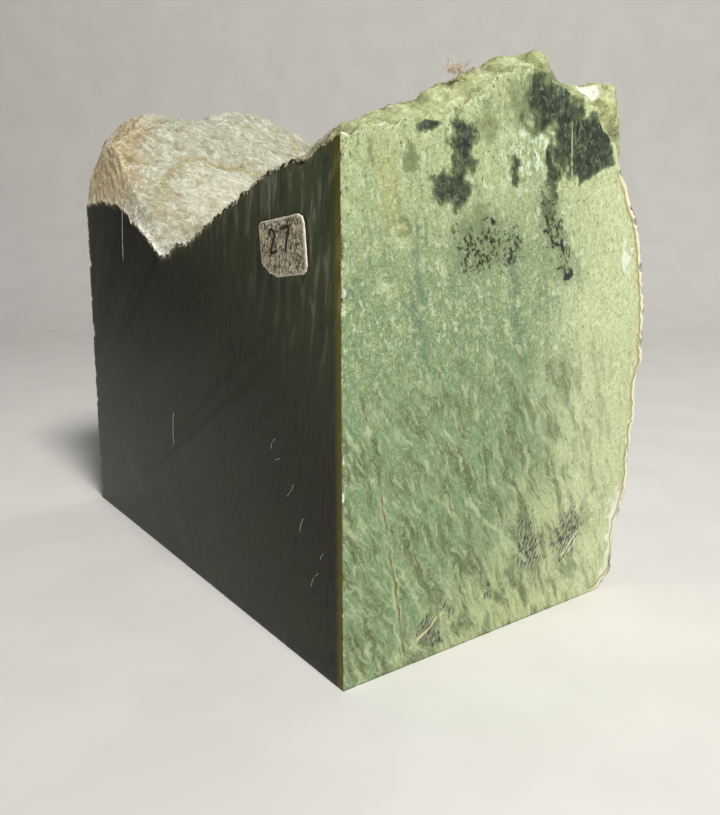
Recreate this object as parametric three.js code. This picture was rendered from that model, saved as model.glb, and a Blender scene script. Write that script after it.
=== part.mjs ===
// A block sawn from a nephrite jade boulder: a flat sawn foot, a polished side, a matt sawn end
// and a sawn back, with the boulder's weathered rind left on the top and on the far side.
// A small paper weight label is stuck on the polished side.
// Millimetres, +Z up. The block rests on its foot; the sawn end faces -Y and the polished side -X.
import * as THREE from 'three';
import { mergeVertices } from 'three/addons/utils/BufferGeometryUtils.js';

// Driving dimensions of the block.
const LENGTH = 120.3; // along the foot of the polished side, from the sawn end to the back
const CORNER_HEIGHT = 88.5; // where the polished side meets the sawn end
const BACK_LEAN = 0.066; // the back cut leans towards the sawn end, per millimetre of height
const BREAK_DEPTH = 6; // the broken strip along the top of the sawn end
const SIDE_BULGE = 5; // the natural far side stands out behind the sawn end
const BULGE_LENGTH = 70; // over this length
const BACK_TAPER = 19; // and draws in towards the back
const KNOB_REACH = 8; // the knob at the top of the far edge stands out this far
const KNOB_HEIGHTS = [80, 92]; // between these heights the far side swells into the knob
const RIND_RELIEF = 0.7; // the size of the rind's lumps
const LUMP_SHARES = [1, 0.6, 0.4]; // how much of it the broad, middle and fine lumps take
const VALLEY_SLOPE = 4; // the rind leaves the polished side within this distance at the valley
const HUMP_SLOPE = 1.5; // and within this distance at the hump
const HUMP_START = [70, 95]; // the hump rises between these distances behind the sawn end

// How finely the block is faceted along X, Y and Z.
const FACETS = [20, 32, 18];
const FRONT_CROWDING = 1.25; // above 1, the facets are shorter near the sawn end

// Driving dimensions of the label.
const LABEL_WIDTH = 14;
const LABEL_HEIGHT = 9.3;
const LABEL_THICKNESS = 0.35;
const LABEL_GAP = 0.3; // the glue line between the paper and the stone
const LABEL_CORNER = 1.3; // radius of a rounded corner
const LABEL_TEAR = [4.6, 2.6]; // the corner that has torn away, along and up
const TEAR_BEND = [0.45, 0.35]; // where the torn edge bends, as shares of the tear
const OUTER_CORNER = 0.5; // the top corner above the tear is rounded by this share of the others
const LABEL_CENTRE = [15.8, 71.6]; // behind the sawn end, and above the foot
const LABEL_TURN = THREE.MathUtils.degToRad(6);

// The broken top of the polished side: distance behind the sawn end, height.
const POLISHED_TOP = [
  [0, CORNER_HEIGHT], [7, 86], [18, 84.3], [24, 83.2], [28, 81.5], [37, 78.7], [46, 75.6],
  [55, 72.3], [62, 71.2], [67, 69.2], [71, 68.8], [75.5, 71.5], [82, 74], [92, 78.4],
  [98, 80.1], [104, 80.4], [110, 81.2], [LENGTH, 80],
];

// The top of the sawn end: distance from the polished side, height of the flat cut.
const SAWN_TOP = [
  [0, CORNER_HEIGHT], [6, 90], [13, 90.7], [18.5, 91.6], [24, 94], [30, 98], [36, 101],
  [40, 101], [44, 98.6], [48, 97.6], [53, 97.4], [57, 94], [60, 90],
];

// The highest line of the broken strip behind it.
const STRIP_TOP = [
  [0, CORNER_HEIGHT + 1], [5, 90.2], [10, 92.3], [16, 94], [21, 96.4], [28, 99.2], [36, 102.4],
  [44.5, 105.3], [47, 104.4], [50, 102], [54, 100], [58, 100], [62.5, 101.4], [67, 100.8],
  [71.5, 98], [77, 93],
];

// The far edge of the sawn end: height, distance from the polished side.
const FAR_EDGE = [
  [0, 64.8], [1.5, 67.8], [3, 69.6], [8, 70.2], [10, 69.3], [13, 70.2], [18, 72.2], [29, 73.4],
  [38, 74], [44, 73.6], [48, 74.8], [57, 74.4], [62, 73.6], [71, 71.4], [77.5, 69],
  [81.5, 66.5], [86, 63.8], [90, 61.5], [100, 57],
];

// Heights of the weathered top across the block, from the polished side to the far side.
// A valley crosses the block behind the sawn end, and a hump stands behind the valley.
const ACROSS = [0, 8, 16, 28, 40, 52, 64, 76];
const WEATHERED_TOP = [
  { behind: 6, heights: [87, 91, 94, 99, 103.5, 101, 100.5, 93] },
  { behind: 18, heights: [84.3, 87, 89, 92, 96, 97, 95, 88] },
  { behind: 34, heights: [80, 81, 82, 84, 86, 87, 86, 80] },
  { behind: 54, heights: [72.5, 74, 75.5, 77, 79, 80, 79, 74] },
  { behind: 71, heights: [69.5, 72, 74.5, 77, 79.5, 80, 79, 74] },
  { behind: 86, heights: [79, 83, 86, 88, 89, 87, 84, 77] },
  { behind: 98, heights: [90, 95, 97, 98.5, 99.5, 98, 95, 86] },
  { behind: 106, heights: [92, 99.8, 100.6, 101.4, 103.2, 101, 97, 87] },
  { behind: 113, heights: [86, 99.4, 101.4, 101.2, 102, 99, 94, 83] },
  { behind: 120, heights: [84, 98.2, 101.2, 100, 99.5, 96, 89, 78] },
];

// A function through a list of [position, value] pairs.
function through(points, Interpolant = THREE.LinearInterpolant) {
  const positions = points.map((p) => p[0]);
  const values = points.map((p) => p[1]);
  const line = new Interpolant(positions, values, 1, new Float32Array(1));
  return (at) => line.evaluate(THREE.MathUtils.clamp(at, positions[0], positions.at(-1)))[0];
}

const polishedTop = through(POLISHED_TOP);
const sawnTop = through(SAWN_TOP);
const stripTop = through(STRIP_TOP);
const farEdge = through(FAR_EDGE);
const topRows = WEATHERED_TOP.map((row) => through(
  ACROSS.map((across, i) => [across, row.heights[i]]),
  THREE.CubicInterpolant,
));

// The smooth weathered top at a point of the plan.
function weatheredTop(x, y) {
  const rows = topRows.map((row, i) => [WEATHERED_TOP[i].behind, row(x)]);
  return through(rows, THREE.CubicInterpolant)(y);
}

// Lumps of the rind: crossed waves of three sizes.
function lumps(x, y, z) {
  const broad = Math.sin(x * 0.31 + y * 0.12 + z * 0.2) * Math.cos(y * 0.27 - z * 0.14);
  const middle = Math.sin(y * 0.63 + x * 0.36 + 1.3) * Math.cos(x * 0.71 - z * 0.5);
  const fine = Math.sin(x * 1.3 - y * 1.1 + z) * Math.cos(y * 1.4 + z * 0.9);
  const [most, some, least] = LUMP_SHARES;
  return RIND_RELIEF * (most * broad + some * middle + least * fine);
}

// Height of the block's top at a point of the plan.
function topHeight(x, y) {
  const strip = THREE.MathUtils.smoothstep(y, 0, BREAK_DEPTH);
  const front = THREE.MathUtils.lerp(sawnTop(x), stripTop(x), strip);
  const behind = weatheredTop(x, y) + lumps(x, y, 0);
  const rind = THREE.MathUtils.smoothstep(y, BREAK_DEPTH / 2, BREAK_DEPTH * 2.5);
  const open = THREE.MathUtils.lerp(front, behind, rind);
  const hump = THREE.MathUtils.smoothstep(y, ...HUMP_START);
  const slope = THREE.MathUtils.lerp(VALLEY_SLOPE, HUMP_SLOPE, hump);
  const atSide = THREE.MathUtils.smoothstep(x, 0, slope);
  return THREE.MathUtils.lerp(polishedTop(y), open, atSide);
}

// Distance of the natural far side from the polished side.
function farSide(y, z) {
  const behind = THREE.MathUtils.smoothstep(y, 0, BREAK_DEPTH);
  const knob = KNOB_REACH * behind * THREE.MathUtils.smoothstep(z, ...KNOB_HEIGHTS);
  const bulge = SIDE_BULGE * Math.sin(Math.PI * Math.min(y / BULGE_LENGTH, 1));
  const taper = BACK_TAPER * THREE.MathUtils.smoothstep(y, BULGE_LENGTH / 2, LENGTH);
  return farEdge(z) + knob + bulge - taper + behind * lumps(0, y, z);
}

// The block: a finely divided box, with every point of its skin moved to its place.
function blockGeometry() {
  const box = new THREE.BoxGeometry(1, 1, 1, ...FACETS);
  box.translate(0.5, 0.5, 0.5);
  box.deleteAttribute('normal');
  box.deleteAttribute('uv');
  const geometry = mergeVertices(box);
  const skin = geometry.attributes.position;
  for (let i = 0; i < skin.count; i += 1) {
    const [across, along, up] = [skin.getX(i), skin.getY(i), skin.getZ(i)];
    const crowded = Math.pow(along, FRONT_CROWDING);
    const y = crowded * LENGTH;
    const guess = across * farSide(y, up * CORNER_HEIGHT);
    const z = up * topHeight(guess, y);
    skin.setXYZ(i, across * farSide(y, z), y - crowded * BACK_LEAN * z, z);
  }
  geometry.computeVertexNormals();
  return geometry;
}

// The label: a rectangle with rounded corners and one corner torn away.
function labelGeometry() {
  const [w, h, r] = [LABEL_WIDTH / 2, LABEL_HEIGHT / 2, LABEL_CORNER];
  const [tearAlong, tearUp] = LABEL_TEAR;
  const outline = new THREE.Shape();
  outline.moveTo(-w + r, -h);
  outline.lineTo(w - tearAlong, -h);
  outline.lineTo(w - tearAlong * TEAR_BEND[0], -h + tearUp * TEAR_BEND[1]);
  outline.lineTo(w, -h + tearUp);
  outline.lineTo(w, h - r * OUTER_CORNER);
  outline.quadraticCurveTo(w, h, w - r * OUTER_CORNER, h);
  outline.lineTo(-w + r, h);
  outline.quadraticCurveTo(-w, h, -w, h - r);
  outline.lineTo(-w, -h + r);
  outline.quadraticCurveTo(-w, -h, -w + r, -h);
  return new THREE.ExtrudeGeometry(outline, {
    depth: LABEL_THICKNESS,
    bevelEnabled: false,
    curveSegments: 5,
  });
}

function jadeBlock() {
  const jade = new THREE.MeshStandardMaterial({ color: 0x9fb88c, roughness: 0.5, metalness: 0 });
  const block = new THREE.Mesh(blockGeometry(), jade);
  block.name = 'jade_block';
  return block;
}

function weightLabel() {
  const paper = new THREE.MeshStandardMaterial({ color: 0x8f8069, roughness: 0.9, metalness: 0 });
  const label = new THREE.Mesh(labelGeometry(), paper);
  label.name = 'weight_label';
  // The drawn outline runs along the side and up it, and the paper grows towards the stone.
  const along = new THREE.Vector3(0, 1, 0).applyAxisAngle(new THREE.Vector3(1, 0, 0), -LABEL_TURN);
  const up = new THREE.Vector3(1, 0, 0).cross(along);
  label.matrix.makeBasis(along, up, new THREE.Vector3(1, 0, 0));
  label.quaternion.setFromRotationMatrix(label.matrix);
  label.position.set(-LABEL_GAP - LABEL_THICKNESS, ...LABEL_CENTRE);
  return label;
}

const stone = new THREE.Group();
stone.add(jadeBlock(), weightLabel());

// The frame's origin is under the middle of the whole thing, on the surface that it rests on.
stone.updateMatrixWorld(true);
const middle = new THREE.Box3().setFromObject(stone, true).getCenter(new THREE.Vector3());
stone.position.set(-middle.x, -middle.y, 0);

export default stone;
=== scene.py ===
import math
import random

import bmesh
import bpy
import numpy as np
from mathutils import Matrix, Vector, noise


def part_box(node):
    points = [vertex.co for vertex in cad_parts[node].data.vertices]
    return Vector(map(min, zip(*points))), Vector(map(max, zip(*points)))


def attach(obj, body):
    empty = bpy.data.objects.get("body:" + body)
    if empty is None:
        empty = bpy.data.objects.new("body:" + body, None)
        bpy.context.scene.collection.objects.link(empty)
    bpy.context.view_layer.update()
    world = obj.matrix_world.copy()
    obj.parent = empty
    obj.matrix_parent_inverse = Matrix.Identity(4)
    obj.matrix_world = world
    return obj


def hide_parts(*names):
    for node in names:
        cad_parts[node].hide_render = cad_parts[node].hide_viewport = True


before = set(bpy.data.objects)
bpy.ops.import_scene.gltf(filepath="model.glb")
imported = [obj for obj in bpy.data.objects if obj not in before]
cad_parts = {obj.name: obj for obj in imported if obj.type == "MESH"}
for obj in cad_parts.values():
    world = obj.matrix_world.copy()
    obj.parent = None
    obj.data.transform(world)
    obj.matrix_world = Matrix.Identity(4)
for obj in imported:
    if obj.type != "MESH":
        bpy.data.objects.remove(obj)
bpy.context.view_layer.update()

# A block sawn from a nephrite jade boulder. Lengths are millimetres from the block's front corner,
# where the sawn end (facing -Y) meets the polished side (facing -X) on the foot. +Z is up.
MM = 0.001
LOW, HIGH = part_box("jade_block")
LENGTH = (HIGH.y - LOW.y) / MM

# The block
CORNER_HEIGHT = 88.5
BACK_LEAN = 0.066      # the back cut leans towards the sawn end, per millimetre of height
BREAK_DEPTH = 6.0      # the broken strip along the top of the sawn end
SIDE_BULGE = 5.0
BULGE_LENGTH = 70.0
BACK_TAPER = 19.0
KNOB_REACH = 8.0
KNOB_HEIGHTS = (80.0, 92.0)
RIND_RELIEF = 0.7
VALLEY_SLOPE = 4.0
HUMP_SLOPE = 1.5
HUMP_START = (70.0, 95.0)
LUMP_SHARES = (1.0, 0.6, 0.4)      # how much the broad, middle and fine lumps take

# The finer relief of the rind: the size of each kind of unevenness, in millimetres
FOLD_SIZE = 3.4
CRUMBLE_SIZE = 1.5
PIT_SIZE = 1.7
FACET_SIZE = 5.0       # flat facets of the broken strip
SHARD_SIZE = 2.2       # and the shards between them
LEDGE_SIZE = 17.0      # broad ledges of the far side
LEDGE_REACH = 2.4      # and how far they stand out

# How finely the natural faces are meshed, across, along and up
ACROSS_CELLS, ALONG_CELLS, UP_CELLS = ((190, 220, 150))
FRONT_CROWDING = 1.15
LIP = 0.032            # the steep lip over the polished side, as a share of the way across
LIP_CELLS = 0.24       # the share of the cells across that it takes

POLISHED_TOP = (
    (0, CORNER_HEIGHT), (7, 86), (18, 84.3), (24, 83.2), (28, 81.5), (37, 78.7), (46, 75.6),
    (55, 72.3), (62, 71.2), (67, 69.2), (71, 68.8), (75.5, 71.5), (82, 74), (92, 78.4),
    (98, 80.1), (104, 80.4), (110, 81.2), (LENGTH, 80),
)
SAWN_TOP = (
    (0, CORNER_HEIGHT), (6, 90), (13, 90.7), (18.5, 91.6), (24, 94), (30, 98), (36, 101),
    (40, 101), (44, 98.6), (48, 97.6), (53, 97.4), (57, 94), (60, 90),
)
STRIP_TOP = (
    (0, CORNER_HEIGHT + 1), (5, 90.2), (10, 92.3), (16, 94), (21, 96.4), (28, 99.2), (36, 102.4),
    (44.5, 105.3), (47, 104.4), (50, 102), (54, 100), (58, 100), (62.5, 101.4), (67, 100.8),
    (71.5, 98), (77, 93),
)
FAR_EDGE = (
    (0, 64.8), (1.5, 67.8), (3, 69.6), (8, 70.2), (10, 69.3), (13, 70.2), (18, 72.2), (29, 73.4),
    (38, 74), (44, 73.6), (48, 74.8), (57, 74.4), (62, 73.6), (71, 71.4), (77.5, 69),
    (81.5, 66.5), (86, 63.8), (90, 61.5), (100, 57),
)
TOP_ACROSS = (0, 8, 16, 28, 40, 52, 64, 76)
WEATHERED_TOP = (
    (6, (87, 91, 94, 99, 103.5, 101, 100.5, 93)),
    (18, (84.3, 87, 89, 92, 96, 97, 95, 88)),
    (34, (80, 81, 82, 84, 86, 87, 86, 80)),
    (54, (72.5, 74, 75.5, 77, 79, 80, 79, 74)),
    (71, (69.5, 72, 74.5, 77, 79.5, 80, 79, 74)),
    (86, (79, 83, 86, 88, 89, 87, 84, 77)),
    (98, (90, 95, 97, 98.5, 99.5, 98, 95, 86)),
    (106, (92, 99.8, 100.6, 101.4, 103.2, 101, 97, 87)),
    (113, (86, 99.4, 101.4, 101.2, 102, 99, 94, 83)),
    (120, (84, 98.2, 101.2, 100, 99.5, 96, 89, 78)),
)

# Single lumps and hollows of the natural faces: centre, radius, how far the skin stands out
LUMPS = (
    ((25, 107, 101), 3.0, -2.4),   # the step in the hump's crest
    ((33, 105, 104), 5.0, 0.8),
    ((3, 106, 95), 4.0, 0.9),
    ((4, 116, 98), 5.0, 1.2),
    ((50, 5, 101), 3.5, -0.8),     # the gap between the crest and the knob
    ((67, 4, 99), 4.0, 0.7),
    ((63, 5, 92), 3.0, -0.8),
)
# Nicks in the sawn edges: centre, radius, depth
NICKS = (
    ((0, 0, 65.5), 0.9, 0.55),
    ((0, 0, 63.6), 0.7, 0.4),
    ((72.5, 0, 15.5), 1.6, 0.9),
    ((70, 0, 4.5), 2.2, 1.0),
    ((74.8, 0, 46), 1.2, 0.6),
)
RIM_ROWS = (0.45, 1.1, 2.2)        # rows of the worn rim, in from a sawn edge
RIM_WEAR = (1.0, 0.35, 0.08)       # how much of the edge's wear each row takes


def smooth(value, start, end):
    """0 before start, 1 after end, with soft ends."""
    share = np.clip((value - start) / (end - start), 0, 1)
    return share * share * (3 - 2 * share)


def between(a, b, share):
    """From a at share 0 to b at share 1."""
    return a + (b - a) * share


def along_outline(outline, at):
    """An outline of (place, value) corners, read at each place asked for."""
    places, values = zip(*outline)
    return np.interp(at, places, values)


def smooth_curve(places, values, at):
    """A smooth curve through values, one row of them for each place, read at each place asked
    for."""
    places = np.asarray(places, float)
    at = np.clip(at, places[0], places[-1])
    slopes = np.gradient(values, places, axis=0)
    i = np.clip(np.searchsorted(places, at, side="right") - 1, 0, len(places) - 2)
    step = places[i + 1] - places[i]
    t = (at - places[i]) / step
    column = np.arange(len(at))
    v0, v1 = values[i, column], values[i + 1, column]
    m0, m1 = slopes[i, column] * step, slopes[i + 1, column] * step
    return (
        (2 * t**3 - 3 * t**2 + 1) * v0 + (t**3 - 2 * t**2 + t) * m0
        + (3 * t**2 - 2 * t**3) * v1 + (t**3 - t**2) * m1
    )


def broad_lumps(x, y, z):
    """Lumps of the rind: crossed waves of three sizes, about 20, 9 and 4 mm from crest to crest."""
    broad = np.sin(x * 0.31 + y * 0.12 + z * 0.2) * np.cos(y * 0.27 - z * 0.14)
    middle = np.sin(y * 0.63 + x * 0.36 + 1.3) * np.cos(x * 0.71 - z * 0.5)
    fine = np.sin(x * 1.3 - y * 1.1 + z) * np.cos(y * 1.4 + z * 0.9)
    most, some, least = LUMP_SHARES
    return RIND_RELIEF * (most * broad + some * middle + least * fine)


def weathered_top(x, y):
    """The smooth weathered top at points of the plan."""
    rows = []
    for _, heights in WEATHERED_TOP:
        values = np.repeat(np.asarray(heights, float)[:, None], len(x), axis=1)
        rows.append(smooth_curve(TOP_ACROSS, values, x))
    return smooth_curve([behind for behind, _ in WEATHERED_TOP], np.array(rows), y)


def top_height(x, y):
    """Height of the block's top at points of the plan."""
    strip = smooth(y, 0, BREAK_DEPTH)
    front = between(along_outline(SAWN_TOP, x), along_outline(STRIP_TOP, x), strip)
    behind = weathered_top(x, y) + broad_lumps(x, y, 0)
    top = between(front, behind, smooth(y, BREAK_DEPTH / 2, BREAK_DEPTH * 2.5))
    slope = between(VALLEY_SLOPE, HUMP_SLOPE, smooth(y, *HUMP_START))
    return between(along_outline(POLISHED_TOP, y), top, smooth(x / slope, 0, 1))


def far_side(y, z):
    """Distance of the natural far side from the polished side."""
    behind = smooth(y, 0, BREAK_DEPTH)
    knob = KNOB_REACH * behind * smooth(z, *KNOB_HEIGHTS)
    bulge = SIDE_BULGE * np.sin(math.pi * np.minimum(y / BULGE_LENGTH, 1))
    taper = BACK_TAPER * smooth(y, BULGE_LENGTH / 2, LENGTH)
    return along_outline(FAR_EDGE, z) + knob + bulge - taper + behind * broad_lumps(0, y, z)


def skin_point(across, along, up):
    """A point of the block's skin, for its three shares of the way across, along and up."""
    y = LENGTH * along
    z = up * CORNER_HEIGHT
    for _ in range(3):
        x = across * far_side(y, z)
        z = up * top_height(x, y)
    return np.stack([x, y - along * BACK_LEAN * z, z], axis=1)


def swell(points, size, octaves, seed):
    """Natural unevenness between about -1 and 1, with lumps of the given size."""
    shift = Vector((seed * 17.3, seed * 5.9, seed * 11.1))
    return np.array([
        noise.fractal(Vector(p) / size + shift, 0.6, 2.0, octaves, noise_basis="PERLIN_ORIGINAL")
        for p in points
    ])


def folds(points, size, seed):
    """Foliated folds: sharp crests that run mostly along X and are bent by broad swells."""
    bend = swell(points, 14.0, 2, seed + 3)
    stretched = points * np.array([0.45, 1.0, 1.0]) / size
    stretched[:, 2] += bend * 1.6
    stretched[:, 1] += bend * 0.9
    return np.array([
        noise.ridged_multi_fractal(
            Vector(p) + Vector((seed * 3.1, 0, 7.7)), 0.9, 2.1, 3, 1.0, 2.0,
            noise_basis="PERLIN_ORIGINAL",
        ) for p in stretched
    ]) - 1.0


def pits(points, size, seed):
    """Round pits: 1 at the middle of a pit, 0 between the pits."""
    shift = Vector((seed, seed * 2.0, seed * 3.0))
    near = np.array([noise.voronoi(Vector(p) / size + shift)[0][0] for p in points])
    return 1 - smooth(near, 0.0, 0.45)


def block_lattice():
    """The points of the block's skin and the quads of its two natural faces, with the loops of its
    four sawn faces."""
    on_lip = round(ACROSS_CELLS * LIP_CELLS)
    across = np.append(
        np.linspace(0, LIP, on_lip, endpoint=False), np.linspace(LIP, 1, ACROSS_CELLS + 1 - on_lip),
    )
    along = np.linspace(0, 1, ALONG_CELLS + 1) ** FRONT_CROWDING
    up = np.linspace(0, 1, UP_CELLS + 1)
    shares, ids = [], {}

    def point(i, j, k):
        if (i, j, k) not in ids:
            ids[i, j, k] = len(shares)
            shares.append((across[i], along[j], up[k]))
        return ids[i, j, k]

    nx, ny, nz = ACROSS_CELLS, ALONG_CELLS, UP_CELLS
    quads = []
    for i in range(nx):
        for j in range(ny):
            quads.append([
                point(i, j, nz), point(i + 1, j, nz), point(i + 1, j + 1, nz), point(i, j + 1, nz),
            ])
    for j in range(ny):
        for k in range(nz):
            quads.append([
                point(nx, j, k), point(nx, j + 1, k), point(nx, j + 1, k + 1), point(nx, j, k + 1),
            ])
    polished = (
        [point(0, j, 0) for j in range(ny)] + [point(0, ny, k) for k in range(nz)]
        + [point(0, j, nz) for j in range(ny, 0, -1)] + [point(0, 0, k) for k in range(nz, 0, -1)]
    )
    sawn = (
        [point(i, 0, 0) for i in range(nx)] + [point(nx, 0, k) for k in range(nz)]
        + [point(i, 0, nz) for i in range(nx, 0, -1)] + [point(0, 0, k) for k in range(nz, 0, -1)]
    )
    back = (
        [point(i, ny, 0) for i in range(nx)] + [point(nx, ny, k) for k in range(nz)]
        + [point(i, ny, nz) for i in range(nx, 0, -1)] + [point(0, ny, k) for k in range(nz, 0, -1)]
    )
    foot = (
        [point(i, 0, 0) for i in range(nx)] + [point(nx, j, 0) for j in range(ny)]
        + [point(i, ny, 0) for i in range(nx, 0, -1)] + [point(0, j, 0) for j in range(ny, 0, -1)]
    )
    loops = {"polished": polished, "sawn": sawn, "back": back, "foot": foot}
    return skin_point(*np.array(shares).T), np.array(quads), loops


def point_normals(points, quads):
    """Outward directions of the natural faces at each point."""
    a, b, c, d = (points[quads[:, n]] for n in range(4))
    face = np.cross(c - a, d - b)
    normals = np.zeros_like(points)
    for n in range(4):
        np.add.at(normals, quads[:, n], face)
    size = np.linalg.norm(normals, axis=1, keepdims=True)
    return normals / np.maximum(size, 1e-9)


def lumps_at(points, lumps):
    """How far single lumps or nicks move each point."""
    total = np.zeros(len(points))
    for centre, radius, height in lumps:
        total += height * np.exp(-((points - centre) ** 2).sum(1) / radius**2)
    return total


def edge_wear(points, top_edge):
    """How far a sawn edge is worn back: a light rounding, with chips here and there."""
    chips = smooth(swell(points, 2.2, 2, 21), 0.12, 0.75) * between(0.5, 1.1, top_edge)
    crumbs = smooth(swell(points, 0.8, 2, 22), 0.2, 0.8) * between(0.12, 0.4, top_edge)
    on_foot = 1 - smooth(points[:, 2], 0, 3)
    return 0.07 + (chips + crumbs) * between(1, 0.2, on_foot) + lumps_at(points, NICKS)


def new_piece(name, points, faces, values=None, rounded=False):
    """An object from points in metres and faces, which are turned outward. Each name in values gets
    a number for every point."""
    mesh = bpy.data.meshes.new(name)
    mesh.from_pydata([tuple(p) for p in points], [], faces)
    for key, numbers in (values or {}).items():
        layer = mesh.attributes.new(key, "FLOAT", "POINT")
        layer.data.foreach_set("value", np.array(numbers, float))
    body = bmesh.new()
    body.from_mesh(mesh)
    bmesh.ops.recalc_face_normals(body, faces=body.faces)
    for face in body.faces:
        face.smooth = rounded
    body.to_mesh(mesh)
    body.free()
    piece = bpy.data.objects.new(name, mesh)
    bpy.context.collection.objects.link(piece)
    return piece


def make_block():
    """The stone: dense natural faces, and sawn faces that are flat inside a worn rim."""
    points, quads, loops = block_lattice()
    natural = np.zeros(len(points), bool)
    natural[quads.ravel()] = True
    normals = point_normals(points, quads)
    y, z = points[:, 1], points[:, 2]
    # Broken stone shows along the top of the sawn end, and weathered rind everywhere else.
    ragged = smooth(swell(points, 7.0, 2, 5), -0.6, 0.6)
    strip_edge = BREAK_DEPTH * between(0.9, 1.9, ragged)
    broken = (1 - smooth(y, strip_edge - 2, strip_edge + 1)) * smooth(z, 74, 84)
    fold = folds(points, FOLD_SIZE, 1)
    crumble = swell(points, CRUMBLE_SIZE, 3, 2)
    pit = pits(points, PIT_SIZE, 4)
    facets = swell(points * np.array([1.0, 0.6, 1.4]), FACET_SIZE, 2, 6)
    shards = np.abs(swell(points, SHARD_SIZE, 3, 7))
    ledges = swell(points * np.array([1.0, 0.55, 1.5]), LEDGE_SIZE, 3, 9)
    facing_out = smooth(normals[:, 0], 0.3, 0.8)
    ledges = LEDGE_REACH * ledges * facing_out * smooth(y, 3, 22)
    # the steep lip over the polished side is calmer than the rest
    calm = 1 - 0.6 * smooth(-normals[:, 0], 0.4, 0.9)
    rind = (0.6 * fold + 0.26 * crumble - 0.28 * pit) * calm + ledges
    break_ = 0.8 * facets - 0.55 * shards + 0.12 * crumble
    relief = np.where(natural, between(rind, break_, broken), 0) + lumps_at(points, LUMPS)
    on = {name: np.zeros(len(points), bool) for name in loops}
    for name, loop in loops.items():
        on[name][loop] = True
    offset = normals * relief[:, None]
    for name, axis in (("polished", 0), ("sawn", 1), ("back", 1), ("foot", 2)):
        offset[on[name], axis] = 0
    near_foot = smooth(z, 0, 1.5)
    moved = points + offset * np.where(on["foot"], 0.4, 0.4 + 0.6 * near_foot)[:, None]
    # nothing of the rind stands out past the polished side
    moved[:, 0] = np.where(moved[:, 0] < 0.3 * points[:, 0], 0.3 * points[:, 0], moved[:, 0])
    moved[on["foot"], 2] = 0
    # the back cut stays flat
    moved[on["back"], 1] = LENGTH - BACK_LEAN * moved[on["back"], 2]

    crest = np.where(natural, np.clip(relief, -1.5, 1.5), 0)
    values = {"relief": list(crest), "broken": list(broken), "rim": [0.0] * len(points)}
    everywhere = [tuple(p) for p in moved]
    inward = {
        "polished": Vector((1, 0, 0)), "sawn": Vector((0, 1, 0)),
        "back": Vector((0, -1, 0)), "foot": Vector((0, 0, 1)),
    }
    kinds = {"natural": 0, "polished": 1, "sawn": 2, "back": 3, "foot": 3}
    faces, kind_of = [list(q) for q in quads], [kinds["natural"]] * len(quads)
    # wear of the sharp edges
    top_edge = smooth(moved[:, 2], 60, 68) * (~on["foot"])
    wear = np.zeros(len(points))
    edge_ids = np.unique(np.concatenate([np.array(loop) for loop in loops.values()]))
    wear[edge_ids] = edge_wear(moved[edge_ids], top_edge[edge_ids])
    push = np.zeros_like(moved)
    for name, loop in loops.items():
        push[loop] += np.array(inward[name])
    push[natural] -= normals[natural] * 0.8
    push[on["foot"], 2] = 0
    for i in edge_ids:
        everywhere[i] = tuple(moved[i] + push[i] * wear[i] * 0.7)
        values["rim"][i] = 1.0
    for name, loop in loops.items():
        centre = moved[loop].mean(0)
        last = list(loop)
        for row, (distance, share) in enumerate(zip(RIM_ROWS, RIM_WEAR)):
            new = []
            for i in loop:
                ray = centre - moved[i]
                spot = moved[i] + ray * distance / np.linalg.norm(ray)
                dent = 0.0 if name == "foot" or row == len(RIM_ROWS) - 1 else wear[i] * share * 0.45
                spot = spot + np.array(inward[name]) * dent
                new.append(len(everywhere))
                everywhere.append(tuple(spot))
                values["relief"].append(0.0)
                values["broken"].append(values["broken"][i])
                values["rim"].append(1 - (row + 1) / len(RIM_ROWS))
            for n in range(len(loop)):
                m = (n + 1) % len(loop)
                faces.append([last[n], last[m], new[m], new[n]])
                kind_of.append(kinds[name])
            last = new
        faces.append(last)
        kind_of.append(kinds[name])

    corner = np.array([LOW.x, LOW.y, LOW.z])
    stone = new_piece(
        "jade_stone", [corner + np.array(p) * MM for p in everywhere],
        [list(map(int, f)) for f in faces], values, rounded=True,
    )
    stone.data.polygons.foreach_set("material_index", kind_of)
    return stone


# ---------------------------------------------------------------- finishes

def paint(hex_code):
    """An sRGB hex colour as the linear colour that a shader takes."""
    parts = [int(hex_code[i:i + 2], 16) / 255 for i in (1, 3, 5)]
    linear = [c / 12.92 if c <= 0.04045 else ((c + 0.055) / 1.055) ** 2.4 for c in parts]
    return (*linear, 1.0)


def add(tree, kind, feeds=(), **settings):
    """Adds a node: its settings, then a number, a colour or another node's output for each input,
    in order or by name. Gives back the output in use."""
    node = tree.nodes.new("ShaderNode" + kind)
    for name, value in settings.items():
        setattr(node, name, value)
    inputs = [socket for socket in node.inputs if socket.enabled]
    named = feeds.items() if isinstance(feeds, dict) else enumerate(feeds)
    for key, value in named:
        socket = inputs[key] if isinstance(key, int) else next(s for s in inputs if s.name == key)
        if isinstance(value, bpy.types.NodeSocket):
            tree.links.new(value, socket)
        else:
            socket.default_value = value
    return next((socket for socket in node.outputs if socket.enabled), None)


def new_finish(name):
    """An empty material with its surface shader, and the place on the stone in millimetres from the
    front corner."""
    material = bpy.data.materials.new(name)
    material.use_nodes = True
    tree = material.node_tree
    tree.nodes.clear()
    surface = add(tree, "BsdfPrincipled").node
    add(tree, "OutputMaterial", {"Surface": surface.outputs[0]})
    where = add(tree, "TexCoord").node.outputs["Object"]
    place = add(
        tree, "Mapping",
        {"Vector": where, "Location": (LOW.x, LOW.y, LOW.z), "Scale": (MM, MM, MM)},
        vector_type="TEXTURE",
    )
    return material, tree, surface.inputs, place


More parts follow.
